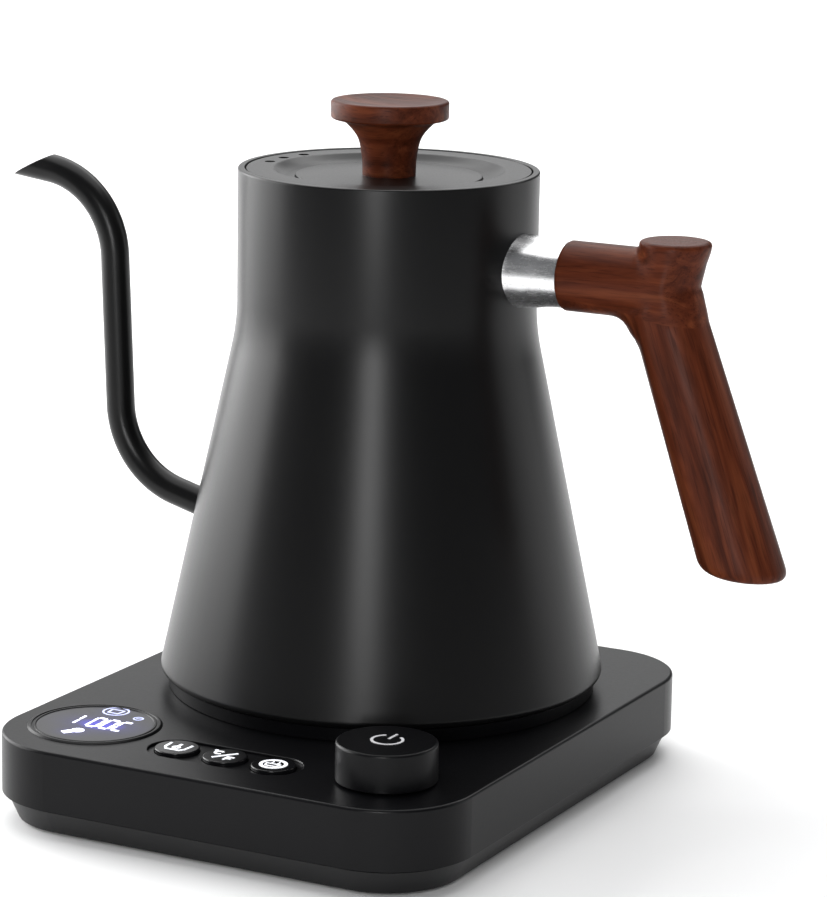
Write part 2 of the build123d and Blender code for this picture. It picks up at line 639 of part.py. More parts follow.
with BuildPart() as probe_seal:
    ring(4.0, 3.0, SPREADER_BOTTOM, VESSEL_FLOOR + FLOOR_THICKNESS, at=PROBE_AT)
    ring(5.6, 3.0, VESSEL_FLOOR + FLOOR_THICKNESS, VESSEL_FLOOR + 2.2, at=PROBE_AT)
write(probe_seal, "probe_seal")

with BuildPart() as boil_dry_thermostats:
    for spot in around(KETTLE_AT, 29.5, 120.0, 3)[:2]:
        disc(6.0, 35.0, SPREADER_BOTTOM, at=spot)
write(boil_dry_thermostats, "boil_dry_thermostats")

CONNECTOR_BOTTOM = 34.5
CONNECTOR_TOP = 40.1
BLADE_BOTTOM = 28.3

with BuildPart() as kettle_connector:
    disc(20.0, CONNECTOR_BOTTOM, CONNECTOR_TOP, at=KETTLE_AT)
    ring(14.0, 12.6, CONNECTOR_BOTTOM, CONNECTOR_BOTTOM + 2, at=KETTLE_AT, mode=Mode.SUBTRACT)
    disc(2.6, CONNECTOR_BOTTOM, CONNECTOR_BOTTOM + 2, at=KETTLE_AT, mode=Mode.SUBTRACT)
write(kettle_connector, "kettle_connector")

with BuildPart() as kettle_contacts:
    ring(14.0, 12.6, BLADE_BOTTOM, CONNECTOR_BOTTOM + 2, at=KETTLE_AT)
    disc(2.6, BLADE_BOTTOM, CONNECTOR_BOTTOM + 2, at=KETTLE_AT)
    fillet(kettle_contacts.edges().group_by(Axis.Z)[0], 0.5)
write(kettle_contacts, "kettle_contacts")

COVER_TOP = 32.3

with BuildPart() as kettle_bottom_cover:
    turned(
        [
            (20.6, 30.0), (60.0, 30.0), (61.0, COVER_BOTTOM), (68.0, COVER_BOTTOM),
            (68.6, COVER_TOP), (66.1, COVER_TOP), (66.1, 34.4), (64.6, 34.4),
            (64.6, 31.8), (22.2, 31.8), (22.2, 34.0), (20.6, 34.0),
        ]
    )
    for spot in COVER_SCREWS_AT:
        disc(1.5, 29.0, 33.0, at=spot, mode=Mode.SUBTRACT)
write(kettle_bottom_cover, "kettle_bottom_cover")

with BuildPart() as cover_screws:
    for spot in COVER_SCREWS_AT:
        disc(2.6, 28.4, 30.0, at=spot)
        disc(1.2, 30.0, 40.0, at=spot)
write(cover_screws, "cover_screws")

# ---- handle: flared steel neck, threaded stud with its insert, and the wooden grip ----
STUD_RADIUS = 3.0
INSERT_RADIUS = 4.6
STUD_START = 51.0
STUD_END = 84.0
INSERT_END = 78.0
HANDLE_AXIS = Axis((0, KETTLE_Y, HANDLE_AXIS_Z), (1, 0, 0))
ACROSS_HANDLE = Plane(origin=(0, KETTLE_Y, HANDLE_AXIS_Z), x_dir=(0, 1, 0), z_dir=(1, 0, 0))

with BuildPart() as handle_neck:
    with BuildSketch(SIDE_PLANE) as neck_section:
        with BuildLine():
            flare = Spline(
                (43.0, HANDLE_AXIS_Z + 13.4),
                (49.0, HANDLE_AXIS_Z + 11.3),
                (BARREL_START, HANDLE_AXIS_Z + 10.2),
                tangents=[(0.5, -1), (1, 0)],
            )
            Polyline(
                flare @ 1, (BARREL_START, HANDLE_AXIS_Z), (43.0, HANDLE_AXIS_Z), flare @ 0
            )
        make_face()
    revolve(axis=HANDLE_AXIS)
    add(vessel_envelope.part, mode=Mode.SUBTRACT)
    with BuildSketch(ACROSS_HANDLE.offset(STUD_START)) as neck_bore:
        Circle(STUD_RADIUS)
    extrude(neck_bore.sketch, amount=20, mode=Mode.SUBTRACT)
write(handle_neck, "handle_neck")

with BuildPart() as handle_stud:
    with BuildSketch(ACROSS_HANDLE.offset(STUD_START)):
        Circle(STUD_RADIUS)
    extrude(amount=STUD_END - STUD_START)
write(handle_stud, "handle_stud")

with BuildPart() as handle_insert:
    with BuildSketch(ACROSS_HANDLE.offset(BARREL_START + 1)):
        Circle(INSERT_RADIUS)
        Circle(STUD_RADIUS, mode=Mode.SUBTRACT)
    extrude(amount=INSERT_END - BARREL_START - 1)
write(handle_insert, "handle_insert")


def grip_plane(spot):
    """The plane across the sloping grip at an (x, z) point on its centre line."""
    along = Vector(GRIP_FOOT[0] - GRIP_TOP[0], 0, GRIP_FOOT[1] - GRIP_TOP[1])
    return Plane(origin=(spot[0], KETTLE_Y, spot[1]), x_dir=(0, 1, 0), z_dir=along)


with BuildPart() as wood_handle:
    with BuildSketch(ACROSS_HANDLE.offset(BARREL_START)):
        Circle(BARREL_RADIUS)
    extrude(amount=CAP_X - BARREL_START)
    fillet(wood_handle.edges().group_by(Axis.X)[0], 0.8)
    with BuildSketch(grip_plane(GRIP_TOP)):
        Ellipse(GRIP_RADIUS_TOP[1], GRIP_RADIUS_TOP[0])
    with BuildSketch(grip_plane(GRIP_FOOT)):
        Ellipse(GRIP_RADIUS_FOOT[1], GRIP_RADIUS_FOOT[0])
    loft()
    foot_plane = Plane(origin=(GRIP_FOOT[0], KETTLE_Y, GRIP_CUT)).rotated((0, GRIP_CUT_TILT, 0))
    with BuildSketch(foot_plane) as foot_cut:
        Rectangle(80.0, 60.0)
    extrude(foot_cut.sketch, amount=-30, mode=Mode.SUBTRACT)
    fillet(wood_handle.edges().group_by(Axis.Z)[0], 3.0)
    with BuildSketch(Plane.XY.offset(CAP_BOTTOM)) as cap_section:
        with Locations((CAP_X, KETTLE_Y)):
            Circle(CAP_RADIUS)
    extrude(cap_section.sketch, amount=CAP_TOP - CAP_BOTTOM)
    fillet(wood_handle.edges().group_by(Axis.Z)[-1], 1.0)
    scoop_middle = CAP_X + CAP_WAIST + SCOOP_RADIUS
    with BuildSketch(SIDE_PLANE) as scoop:
        with Locations((scoop_middle, SCOOP_Z)):
            Circle(SCOOP_RADIUS)
    extrude(scoop.sketch, amount=20, both=True, mode=Mode.SUBTRACT)
    with BuildSketch(ACROSS_HANDLE.offset(BARREL_START - 1)) as insert_bore:
        Circle(INSERT_RADIUS)
    extrude(insert_bore.sketch, amount=INSERT_END - BARREL_START + 1, mode=Mode.SUBTRACT)
    with BuildSketch(ACROSS_HANDLE.offset(BARREL_START)) as stud_bore:
        Circle(STUD_RADIUS + 0.1)
    extrude(stud_bore.sketch, amount=STUD_END - BARREL_START + 1, mode=Mode.SUBTRACT)
write(wood_handle, "wood_handle")

# ---- lid: shell with a shallow bowl, raised centre plate, steel cup, seal, knob and screw ----
LID_RADIUS = 44.55
LID_TOP = 193.8
LID_UNDER = 191.0
CUP_RADIUS = 41.0
CUP_BOTTOM = 180.0
PLATE_RADIUS = 29.2
PLATE_TOP = 191.9
PLATE_BED = 190.7
SCREW_RADIUS = 2.0
VENT_RADIUS = 1.7
VENTS_AT = around(KETTLE_AT, 39.3, 162.0, 25)[:3]

with BuildPart() as lid_shell:
    with BuildSketch(SIDE_PLANE) as shell_section:
        with BuildLine():
            bowl = Spline((31.2, 191.3), (33.4, 192.3), (36.3, LID_TOP), tangents=[(1, 0), (1, 0.25)])
            Polyline(
                bowl @ 1, (LID_RADIUS - 0.4, LID_TOP), (LID_RADIUS, LID_TOP - 0.4),
                (LID_RADIUS, LID_UNDER), (37.0, LID_UNDER), (34.0, 189.4), (SCREW_RADIUS, 189.4),
                (SCREW_RADIUS, PLATE_BED), (PLATE_RADIUS + 0.25, PLATE_BED),
                (PLATE_RADIUS + 0.25, 191.3), bowl @ 0,
            )
        make_face()
    revolve(axis=KETTLE_AXIS)
    for spot in VENTS_AT:
        disc(VENT_RADIUS, LID_UNDER - 1, LID_TOP + 1, at=spot, mode=Mode.SUBTRACT)
write(lid_shell, "lid_shell")

with BuildPart() as lid_centre_plate:
    ring(PLATE_RADIUS, SCREW_RADIUS, PLATE_BED, PLATE_TOP, at=KETTLE_AT)
    fillet(lid_centre_plate.edges().group_by(Axis.Z)[-1].sort_by(SortBy.RADIUS)[-1], 0.3)
write(lid_centre_plate, "lid_centre_plate")

with BuildPart() as lid_steel_cup:
    ring(CUP_RADIUS, CUP_RADIUS - 1.0, CUP_BOTTOM, LID_UNDER, at=KETTLE_AT)
    disc(CUP_RADIUS, CUP_BOTTOM, CUP_BOTTOM + 1.0, at=KETTLE_AT)
    for spot in around(KETTLE_AT, 30.0, 144.0, 15)[:4]:
        disc(1.5, CUP_BOTTOM, CUP_BOTTOM + 1.0, at=spot, mode=Mode.SUBTRACT)
    disc(SCREW_RADIUS, CUP_BOTTOM, CUP_BOTTOM + 1.0, at=KETTLE_AT, mode=Mode.SUBTRACT)
    ring(5.0, SCREW_RADIUS, CUP_BOTTOM + 1.0, 189.4, at=KETTLE_AT)
write(lid_steel_cup, "lid_steel_cup")

with BuildPart() as lid_seal:
    turned(
        [
            (CUP_RADIUS, 183.0), (41.9, 183.0), (42.7, 184.2), (41.9, 185.2),
            (42.7, 186.4), (41.9, 187.4), (CUP_RADIUS, 187.4),
        ]
    )
write(lid_seal, "lid_seal")

KNOB_DISC_RADIUS = 18.4
LID_KNOB_TOP = 215.3

with BuildPart() as lid_knob:
    with BuildSketch(SIDE_PLANE) as lid_knob_section:
        with BuildLine():
            waist = Spline(
                (8.3, PLATE_TOP), (8.6, 197.5), (10.0, 203.6), (13.6, 208.0), (17.0, 209.5),
                tangents=[(0, 1), (1, 0.15)],
            )
            edge = Line(waist @ 1, (KNOB_DISC_RADIUS, 210.8))
            rim = Line(edge @ 1, (KNOB_DISC_RADIUS, 214.7))
            lip = Line(rim @ 1, (17.8, LID_KNOB_TOP))
            dish = Spline(lip @ 1, (12.0, 214.4), (0, 213.4), tangents=[(-1, -0.1), (-1, 0)])
            Polyline(dish @ 1, (0, PLATE_TOP), waist @ 0)
        make_face()
    revolve(axis=KETTLE_AXIS)
    disc(SCREW_RADIUS, PLATE_TOP, 206.0, at=KETTLE_AT, mode=Mode.SUBTRACT)
write(lid_knob, "lid_knob")

with BuildPart() as lid_knob_screw:
    disc(SCREW_RADIUS, CUP_BOTTOM, 206.0, at=KETTLE_AT)
    disc(4.0, CUP_BOTTOM - 2.2, CUP_BOTTOM, at=KETTLE_AT)
    block(1.2, 6.0, CUP_BOTTOM - 2.2, CUP_BOTTOM - 1.2, at=KETTLE_AT, mode=Mode.SUBTRACT)
write(lid_knob_screw, "lid_knob_screw")
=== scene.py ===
import math

import bmesh
import bpy
import numpy as np
from mathutils import Matrix, Vector


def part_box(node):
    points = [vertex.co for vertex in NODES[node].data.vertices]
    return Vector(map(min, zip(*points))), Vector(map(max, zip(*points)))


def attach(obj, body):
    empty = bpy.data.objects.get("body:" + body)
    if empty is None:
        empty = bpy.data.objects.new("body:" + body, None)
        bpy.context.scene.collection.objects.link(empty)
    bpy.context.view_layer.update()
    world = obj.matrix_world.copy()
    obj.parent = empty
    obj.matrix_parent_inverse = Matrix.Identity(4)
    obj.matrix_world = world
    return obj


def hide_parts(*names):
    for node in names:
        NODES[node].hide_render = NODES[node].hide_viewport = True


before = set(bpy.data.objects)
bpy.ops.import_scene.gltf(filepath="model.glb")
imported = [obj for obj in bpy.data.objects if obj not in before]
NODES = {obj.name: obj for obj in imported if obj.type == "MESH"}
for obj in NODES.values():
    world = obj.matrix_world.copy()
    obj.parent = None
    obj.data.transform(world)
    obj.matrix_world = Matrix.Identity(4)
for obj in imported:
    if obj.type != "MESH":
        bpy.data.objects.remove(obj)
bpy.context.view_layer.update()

MM = 0.001
COLLECTION = bpy.context.scene.collection
# Profiles, symbols, the handle and the cord are in mm; the camera, floor, lights and shaders are in metres.
KETTLE_Y = 22.1


def colour(red, green, blue):
    """A screen colour from 0 to 255 as the linear values that a shader takes."""
    def linear(value):
        value /= 255
        return value / 12.92 if value <= 0.04045 else ((value + 0.055) / 1.055) ** 2.4
    return (linear(red), linear(green), linear(blue), 1.0)


# ---------------------------------------------------------------- camera
CAMERA_PLACE = (0.52838, -0.97111, 0.35611)
CAMERA_YAW = math.radians(27.549)
CAMERA_PITCH = math.radians(12.6035)
CAMERA_ROLL = math.radians(0.9983)


def make_camera():
    """A camera at its place, turned by yaw, pitch and roll, with its lens in mm."""
    forward = Vector((
        -math.sin(CAMERA_YAW) * math.cos(CAMERA_PITCH),
        math.cos(CAMERA_YAW) * math.cos(CAMERA_PITCH),
        -math.sin(CAMERA_PITCH),
    ))
    level = Vector((math.cos(CAMERA_YAW), math.sin(CAMERA_YAW), 0))
    upright = level.cross(forward)
    right = math.cos(CAMERA_ROLL) * level + math.sin(CAMERA_ROLL) * upright
    up = right.cross(forward)
    data = bpy.data.cameras.new("camera")
    data.lens = 145.98
    data.sensor_width = 36
    data.clip_start = 0.01
    data.clip_end = 50
    camera = bpy.data.objects.new("camera", data)
    turn = Matrix((right, up, -forward)).transposed().to_4x4()
    camera.matrix_world = Matrix.Translation(CAMERA_PLACE) @ turn
    COLLECTION.objects.link(camera)
    bpy.context.scene.camera = camera


make_camera()


# ---------------------------------------------------------------- node helpers
class Shader:
    """A material being built: its nodes, and short ways to add and link them."""

    def __init__(self, name):
        self.material = bpy.data.materials.new(name)
        self.material.use_nodes = True
        self.nodes = self.material.node_tree.nodes
        self.links = self.material.node_tree.links
        self.main = self.nodes["Principled BSDF"]
        place = self.nodes.new("ShaderNodeTexCoord")
        self.place = place.outputs["Object"]

    def set(self, **values):
        for name, value in values.items():
            self.main.inputs[name.replace("_", " ")].default_value = value

    def add(self, kind, inputs=None, **settings):
        node = self.nodes.new(kind)
        for name, value in settings.items():
            setattr(node, name, value)
        for name, value in (inputs or {}).items():
            if isinstance(value, bpy.types.NodeSocket):
                self.links.new(value, node.inputs[name])
            else:
                node.inputs[name].default_value = value
        return node

    def link(self, source, name):
        self.links.new(source, self.main.inputs[name])

    def mapped(self, vector, scale=(1, 1, 1), rotation=(0, 0, 0)):
        node = self.add("ShaderNodeMapping", {"Vector": vector, "Scale": scale, "Rotation": rotation})
        return node.outputs["Vector"]

    def noise(self, vector, scale, detail=4.0, roughness=0.5, distortion=0.0):
        node = self.add("ShaderNodeTexNoise", {
            "Vector": vector, "Scale": scale, "Detail": detail,
            "Roughness": roughness, "Distortion": distortion,
        })
        return node.outputs["Fac"]

    def ramp(self, factor, *stops):
        """Colours or grey levels at places from 0 to 1."""
        node = self.add("ShaderNodeValToRGB", {"Fac": factor})
        band = node.color_ramp
        while len(band.elements) < len(stops):
            band.elements.new(0.5)
        for element, (place, value) in zip(band.elements, stops):
            element.position = place
            element.color = (value, value, value, 1) if isinstance(value, float) else value
        return node.outputs["Color"]

    def span(self, value, low, high, to_low=0.0, to_high=1.0):
        """A value carried from one range to another."""
        node = self.add("ShaderNodeMapRange", {
            "Value": value, "From Min": low, "From Max": high, "To Min": to_low, "To Max": to_high,
        })
        return node.outputs["Result"]

    def fill(self, sockets, values):
        """Links or sets each socket, depending on what its value is."""
        for socket, value in zip(sockets, values):
            if isinstance(value, bpy.types.NodeSocket):
                self.links.new(value, socket)
            else:
                socket.default_value = value

    def math(self, operation, *values):
        node = self.add("ShaderNodeMath", operation=operation)
        self.fill(node.inputs, values)
        return node.outputs[0]

    def mix(self, factor, first, second, blend="MIX"):
        """Two colours mixed. A mix node's colour sockets are its inputs 6 and 7 and its output 2."""
        node = self.add("ShaderNodeMix", data_type="RGBA", blend_type=blend)
        self.fill((node.inputs[0], node.inputs[6], node.inputs[7]), (factor, first, second))
        return node.outputs[2]

    def bump(self, height, strength, distance):
        node = self.add("ShaderNodeBump", {"Height": height, "Strength": strength, "Distance": distance})
        self.link(node.outputs["Normal"], "Normal")


def scaled(tint, share):
    """A colour made lighter or darker."""
    return tuple(min(1.0, c * share) for c in tint[:3]) + (1.0,)


def moulded(name, tint, roughness, grain, bump, specular, variation=0.04):
    """A moulded or coated surface: a fine even grain, and slow changes of tone and gloss."""
    s = Shader(name)
    broad = s.noise(s.place, 30.0, 3.0)
    fine = s.noise(s.place, grain, 2.0)
    darker = scaled(tint, 1 - 2 * variation)
    lighter = scaled(tint, 1 + 2 * variation)
    s.link(s.ramp(broad, (0.3, darker), (0.7, lighter)), "Base Color")
    s.link(s.math("MULTIPLY_ADD", fine, 0.08, roughness - 0.04), "Roughness")
    s.set(Specular_IOR_Level=specular)
    s.bump(fine, bump, 0.00004)
    return s


def metal(name, tint, roughness, brushing=(1, 1, 1), bump=0.05):
    """Metal with fine marks that run along the smallest of the brushing scales."""
    s = Shader(name)
    marks = s.noise(s.mapped(s.place, brushing), 400.0, 3.0)
    broad = s.noise(s.place, 40.0, 3.0)
    s.link(s.ramp(broad, (0.3, scaled(tint, 0.88)), (0.7, tint)), "Base Color")
    s.set(Metallic=1.0)
    s.link(s.span(marks, 0.3, 0.7, roughness - 0.03, roughness + 0.05), "Roughness")
    s.bump(marks, bump, 0.00003)
    return s


# ---------------------------------------------------------------- walnut
WALNUT_DARK = colour(60, 25, 12)
WALNUT_MID = colour(84, 38, 21)
WALNUT_LIGHT = colour(108, 55, 32)

# The handle's grain turns at a seam, a sloping plane between its barrel and its grip.
SEAM_SLOPE = 0.12
SEAM_LEVEL = 0.157 + SEAM_SLOPE * 0.092
SEAM_SOFT = 0.0002

# The grip's axis as (x, z) in mm.
GRIP_TOP = (95.2, 160.2)
GRIP_FOOT = (127.5, 70.2)
GRIP_LEAN = math.atan2(GRIP_FOOT[0] - GRIP_TOP[0], GRIP_TOP[1] - GRIP_FOOT[1])
ALONG_X = (0, math.radians(90), 0)


def walnut_tone(s, vector):
    """Long soft figure, darker streaks and short pores, along the vector's Z."""
    figure = s.noise(s.mapped(vector, (1, 1, 0.09)), 170.0, 5.0, 0.6, 1.2)
    streak = s.noise(s.mapped(vector, (1, 1, 0.03)), 420.0, 3.0, 0.6)
    pore = s.noise(s.mapped(vector, (1, 1, 0.05)), 1600.0, 2.0, 0.5)
    tone = s.ramp(figure, (0.32, WALNUT_DARK), (0.5, WALNUT_MID), (0.68, WALNUT_LIGHT))
    shade = s.ramp(streak, (0.3, 0.74), (0.6, 1.0))
    dots = s.ramp(pore, (0.34, 0.7), (0.44, 1.0))
    streaked = s.mix(1.0, tone, shade, "MULTIPLY")
    return s.mix(1.0, streaked, dots, "MULTIPLY"), pore


def walnut(name, *ways):
    """Oiled walnut. Each way is a rotation that turns the grain to Z; a second one is used above the seam."""
    s = Shader(name)
    tones = [walnut_tone(s, s.mapped(s.place, rotation=turn)) for turn in ways]
    tone, pore = tones[0]
    if len(tones) == 2:
        split = s.add("ShaderNodeSeparateXYZ", {"Vector": s.place})
        slope = s.math("MULTIPLY", split.outputs["X"], SEAM_SLOPE)
        height = s.math("ADD", split.outputs["Z"], slope)
        above = s.span(height, SEAM_LEVEL - SEAM_SOFT, SEAM_LEVEL + SEAM_SOFT)
        tone = s.mix(above, tone, tones[1][0])
    s.link(tone, "Base Color")
    s.link(s.span(pore, 0.3, 0.6, 0.46, 0.36), "Roughness")
    s.set(Specular_IOR_Level=0.09)
    s.bump(pore, 0.12, 0.00008)
    return s


# ---------------------------------------------------------------- finishes
FINISHES = {
    "black_powder_coat": moulded("black_powder_coat", colour(11, 11, 11.5), 0.31, 1500.0, 0.12, 0.22),
    "black_satin_plastic": moulded("black_satin_plastic", colour(9, 9, 11), 0.33, 1200.0, 0.1, 0.16),
    "black_gloss_plastic": moulded("black_gloss_plastic", colour(15, 15, 17), 0.2, 900.0, 0.03, 0.3),
    "dark_plate_plastic": moulded("dark_plate_plastic", colour(20, 20, 21), 0.42, 1200.0, 0.15, 0.35),
    "polished_steel": metal("polished_steel", colour(246, 246, 247), 0.24, (1, 4, 4), 0.0),
    "satin_steel": metal("satin_steel", colour(205, 205, 206), 0.3, (1, 1, 8)),
    "cast_aluminium": metal("cast_aluminium", colour(190, 192, 195), 0.45, (1, 1, 1), 0.3),
    "brass": metal("brass", colour(214, 178, 96), 0.25),
    "plated_steel": metal("plated_steel", colour(200, 200, 198), 0.25),
    "nickel_pin": metal("nickel_pin", colour(215, 213, 208), 0.2, (1, 1, 6)),
    "black_rubber": moulded("black_rubber", colour(26, 26, 26), 0.62, 700.0, 0.3, 0.3),
    "clear_silicone": moulded("clear_silicone", colour(205, 203, 198), 0.35, 500.0, 0.1, 0.4),
    "cord_pvc": moulded("cord_pvc", colour(24, 24, 25), 0.45, 800.0, 0.15, 0.4),
    "circuit_board": moulded("circuit_board", colour(18, 82, 44), 0.4, 260.0, 0.2, 0.5, 0.15),
    "component_black": moulded("component_black", colour(30, 30, 31), 0.5, 700.0, 0.2, 0.35),
    "component_blue": moulded("component_blue", colour(24, 70, 150), 0.35, 500.0, 0.1, 0.45),
    "component_yellow": moulded("component_yellow", colour(222, 180, 40), 0.45, 400.0, 0.2, 0.4),
    "display_light": moulded("display_light", colour(235, 240, 255), 0.4, 600.0, 0.05, 0.3),
    "walnut": walnut("walnut", ALONG_X),
}
HANDLE_WALNUT = walnut("handle_walnut", (0, GRIP_LEAN, 0), ALONG_X)

# Each spot of light in the glass: (x, y, reach along X, reach along Y, share), in mm.
GLOW_SPOTS = [
    (-50.4, -65.6, 10.5, 6.5, 1.0),
    (-54.0, -52.4, 5.0, 4.0, 0.4),
    (-54.4, -76.4, 4.5, 3.4, 0.55),
]


def display_glass():
    """Black glass with light that leaks softly around the lit symbols."""
    s = Shader("display_glass")
    split = s.add("ShaderNodeSeparateXYZ", {"Vector": s.place})
    total = None
    for x, y, wide, high, share in GLOW_SPOTS:
        across = s.math("DIVIDE", s.math("SUBTRACT", split.outputs["X"], x * MM), wide * MM)
        along = s.math("DIVIDE", s.math("SUBTRACT", split.outputs["Y"], y * MM), high * MM)
        square = s.math("ADD", s.math("MULTIPLY", across, across), s.math("MULTIPLY", along, along))
        fall = s.math("MULTIPLY", s.math("EXPONENT", s.math("MULTIPLY", square, -1.0)), share)
        total = fall if total is None else s.math("ADD", total, fall)
    dust = s.noise(s.place, 300.0, 2.0)
    s.link(s.ramp(dust, (0.3, colour(14, 14, 18)), (0.7, colour(20, 20, 25))), "Base Color")
    glow = s.ramp(total, (0.0, colour(0, 0, 0)), (0.5, colour(16, 12, 84)), (1.0, colour(62, 52, 235)))
    s.link(glow, "Emission Color")
    s.set(Emission_Strength=0.9, Roughness=0.28, Specular_IOR_Level=0.35)
    return s


FINISHES["display_glass"] = display_glass()


def lit(name, tint, strength):
    """A lit symbol, with slight unevenness in its light."""
    s = Shader(name)
    cells = s.noise(s.place, 900.0, 1.0)
    s.link(s.ramp(cells, (0.2, scaled(tint, 0.85)), (0.6, tint)), "Emission Color")
    s.set(Emission_Strength=strength, Roughness=0.3, Base_Color=tint)
    return s


DIGIT_LIGHT = lit("digit_light", colour(226, 228, 255), 2.6)
ICON_LIGHT = lit("icon_light", colour(190, 196, 240), 0.9)
KEY_LIGHT = lit("key_light", colour(232, 234, 240), 0.75)
PRINT = moulded("white_print", colour(205, 205, 208), 0.5, 700.0, 0.05, 0.3)

for node in NODES.values():
    for place in node.material_slots:
        place.material = FINISHES[place.material.name].material


# ---------------------------------------------------------------- mesh helpers
def mesh_object(name, points, faces, material, body, smooth=True):
    """A piece made from points in mm, riding on a body."""
    mesh = bpy.data.meshes.new(name)
    mesh.from_pydata([tuple(c * MM for c in p) for p in points], [], faces)
    mesh.validate()
    mesh.update()
    if smooth:
        mesh.shade_smooth()
    mesh.materials.append(material)
    piece = bpy.data.objects.new(name, mesh)
    COLLECTION.objects.link(piece)
    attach(piece, body)
    return piece


def stroke(points, faces, line, width, low, high, closed=False):
    """Adds a flat ribbon of constant width along a line of (x, y) points, from z low to z high."""
    line = [Vector(p) for p in line]
    count = len(line)
    sides = []
    for i, here in enumerate(line):
        before = line[i - 1] if i or closed else here
        after = line[(i + 1) % count] if i + 1 < count or closed else here
        first = (here - before).normalized() if (here - before).length else None
        second = (after - here).normalized() if (after - here).length else None
        first = first or second
        second = second or first
        across_first = Vector((-first.y, first.x))
        across_second = Vector((-second.y, second.x))
        mitre = (across_first + across_second).normalized()
        reach = width / 2 / max(0.4, mitre.dot(across_first))
        sides.append((here + mitre * reach, here - mitre * reach))
    start = len(points)
    for left, right in sides:
        points += [(left.x, left.y, high), (right.x, right.y, high)]
        points += [(right.x, right.y, low), (left.x, left.y, low)]
    for i in range(count if closed else count - 1):
        a = start + 4 * i
        b = start + 4 * ((i + 1) % count)
        for k in range(4):
            faces.append((a + k, b + k, b + (k + 1) % 4, a + (k + 1) % 4))
    if not closed:
        faces.append((start, start + 1, start + 2, start + 3))
        end = start + 4 * (count - 1)
        faces.append((end + 3, end + 2, end + 1, end))


def arc(x, y, radius, start=0.0, end=360.0, steps=32):
    """Points round a circle, in degrees from +X; a full circle leaves out its repeated last point."""
    full = abs(end - start) >= 360
    angles = [math.radians(start + (end - start) * i / steps) for i in range(steps if full else steps + 1)]
    return [(x + radius * math.cos(a), y + radius * math.sin(a)) for a in angles]


PRINT_THICK = 0.12
LIT_THICK = 0.06
SUNK = 0.02


def symbol(name, lines, at, level, material, body, thick=PRINT_THICK):
    """Lines are (points, width, closed) in mm about a centre; the symbol lies on a face at a level."""
    points, faces = [], []
    for line, width, closed in lines:
        shifted = [(at[0] + p[0], at[1] + p[1]) for p in line]
        stroke(points, faces, shifted, width, level - SUNK, level + thick, closed)
    mesh_object(name, points, faces, material, body, smooth=False)


def rounded(corners):
    """A profile of (radius, height, rounding) corners, each turned into a smooth arc.

    On an open profile the first and last corners have no rounding.
    """
    line = []
    count = len(corners)
    for i, (r, z, rounding) in enumerate(corners):
        here = Vector((r, z))
        if rounding == 0:
            line.append(here)
            continue
        back = (Vector(corners[i - 1][:2]) - here).normalized()
        on = (Vector(corners[(i + 1) % count][:2]) - here).normalized()
        half = math.acos(max(-1, min(1, back.dot(on)))) / 2
        reach = rounding / math.tan(half)
        centre = here + (back + on).normalized() * (rounding / math.sin(half))
        first = here + back * reach - centre
        last = here + on * reach - centre
        sweep = math.atan2(first.x * last.y - first.y * last.x, first.dot(last))
        steps = max(4, int(abs(math.degrees(sweep)) * (1.0 if rounding > 10 else 0.12)))
        for k in range(steps + 1):
            turn = Matrix.Rotation(sweep * k / steps, 2)
            line.append(centre + turn @ first)
    return [(p.x, p.y) for p in line]


def through(points, steps=8):
    """A smooth profile through (radius, height) points."""
    points = [Vector(p) for p in points]
    padded = [2 * points[0] - points[1]] + points + [2 * points[-1] - points[-2]]
    line = []
    for i in range(1, len(padded) - 2):
        a, b, c, d = padded[i - 1:i + 3]
        for k in range(steps):
            t = k / steps
            square = (2 * a - 5 * b + 4 * c - d) * t ** 2
            cube = (3 * b - a - 3 * c + d) * t ** 3
            line.append(0.5 * (2 * b + (c - a) * t + square + cube))
    line.append(points[-1])
    return [(p.x, p.y) for p in line]


def turned(name, profile, centre, material, body, stands_for, closed=True, around=192):
    """A turned piece: a profile of (radius, height) swept round an upright axis, with welded poles."""
    points = []
    for i in range(around):
        angle = 2 * math.pi * i / around
        for r, z in profile:
            points.append((centre[0] + r * math.cos(angle), centre[1] + r * math.sin(angle), z))
    count = len(profile)
    faces = []
    for i in range(around):
        a = i * count
        b = (i + 1) % around * count
        for k in range(count if closed else count - 1):
            n = (k + 1) % count
            faces.append((a + k, b + k, b + n, a + n))
    piece = mesh_object(name, points, faces, material, body)
    mesh = piece.data
    bm = bmesh.new()
    bm.from_mesh(mesh)
    bmesh.ops.remove_doubles(bm, verts=bm.verts, dist=0.000001)
    bmesh.ops.recalc_face_normals(bm, faces=bm.faces)
    bm.to_mesh(mesh)
    bm.free()
    mesh.set_sharp_from_angle(angle=math.radians(32))
    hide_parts(*stands_for)
    return piece


# ---------------------------------------------------------------- turned shells, lid knob and display ring
KETTLE_AXIS = (0.0, KETTLE_Y)
DISPLAY_CENTRE = (-52.5, -65.8)
BODY_PROFILE = [
    (66.4, 32.5, 0), (71.1, 32.5, 2.2), (47.1, 144.95, 71.0), (47.1, 194.0, 0.6), (44.9, 194.0, 0.35),
    (44.9, 190.8, 0), (43.0, 190.8, 0.2), (43.0, 189.6, 0), (46.1, 189.6, 0.4), (46.1, 144.95, 71.0),
    (69.1, 37.0, 0), (66.4, 37.0, 0),
]
turned(
    "vessel_shell", rounded(BODY_PROFILE), KETTLE_AXIS, FINISHES["black_powder_coat"].material,
    "kettle", ["kettle_body"], around=288,
)

